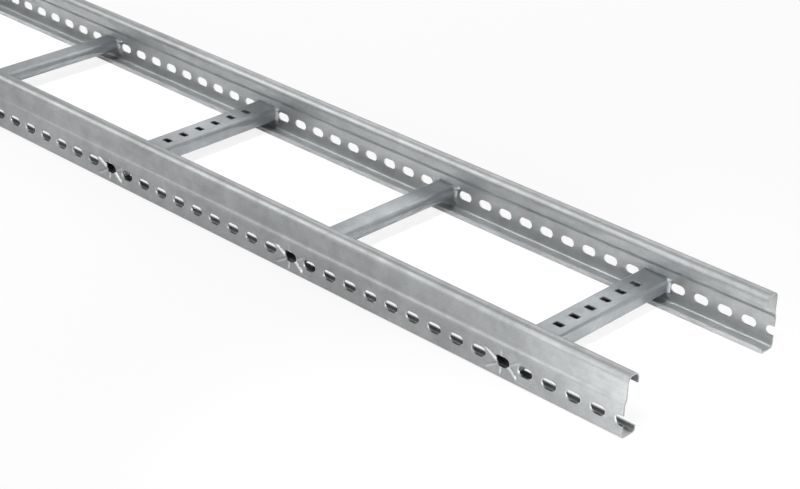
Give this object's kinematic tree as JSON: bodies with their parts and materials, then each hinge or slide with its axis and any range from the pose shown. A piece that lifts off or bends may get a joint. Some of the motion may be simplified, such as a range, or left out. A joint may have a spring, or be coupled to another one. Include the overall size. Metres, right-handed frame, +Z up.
{
  "type": "cable ladder section",
  "caption": "Straight cable ladder section: two slotted C-shaped side rails joined by evenly spaced hollow rungs, every second one perforated.",
  "frame": {"origin": "on the floor below the middle of the ladder, in the plane of the rails' undersides", "axes": "+X along the ladder towards its front end, +Y across it, +Z up"},
  "size_m": [3, 0.208, 0.0565],
  "materials": {
    "rail_zinc": "bright galvanised sheet, satin, faintly mottled",
    "rung_zinc": "bright galvanised sheet, satin, faintly mottled"
  },
  "bodies": {
    "root": {"side_rail_right": "rail_zinc", "side_rail_left": "rail_zinc", "rung_01": "rung_zinc", "rung_02": "rung_zinc", "rung_03": "rung_zinc", "rung_04": "rung_zinc", "rung_05": "rung_zinc", "rung_06": "rung_zinc", "rung_07": "rung_zinc", "rung_08": "rung_zinc", "rung_09": "rung_zinc", "rung_10": "rung_zinc", "rung_11": "rung_zinc", "rung_12": "rung_zinc"}
  },
  "joints": []
}
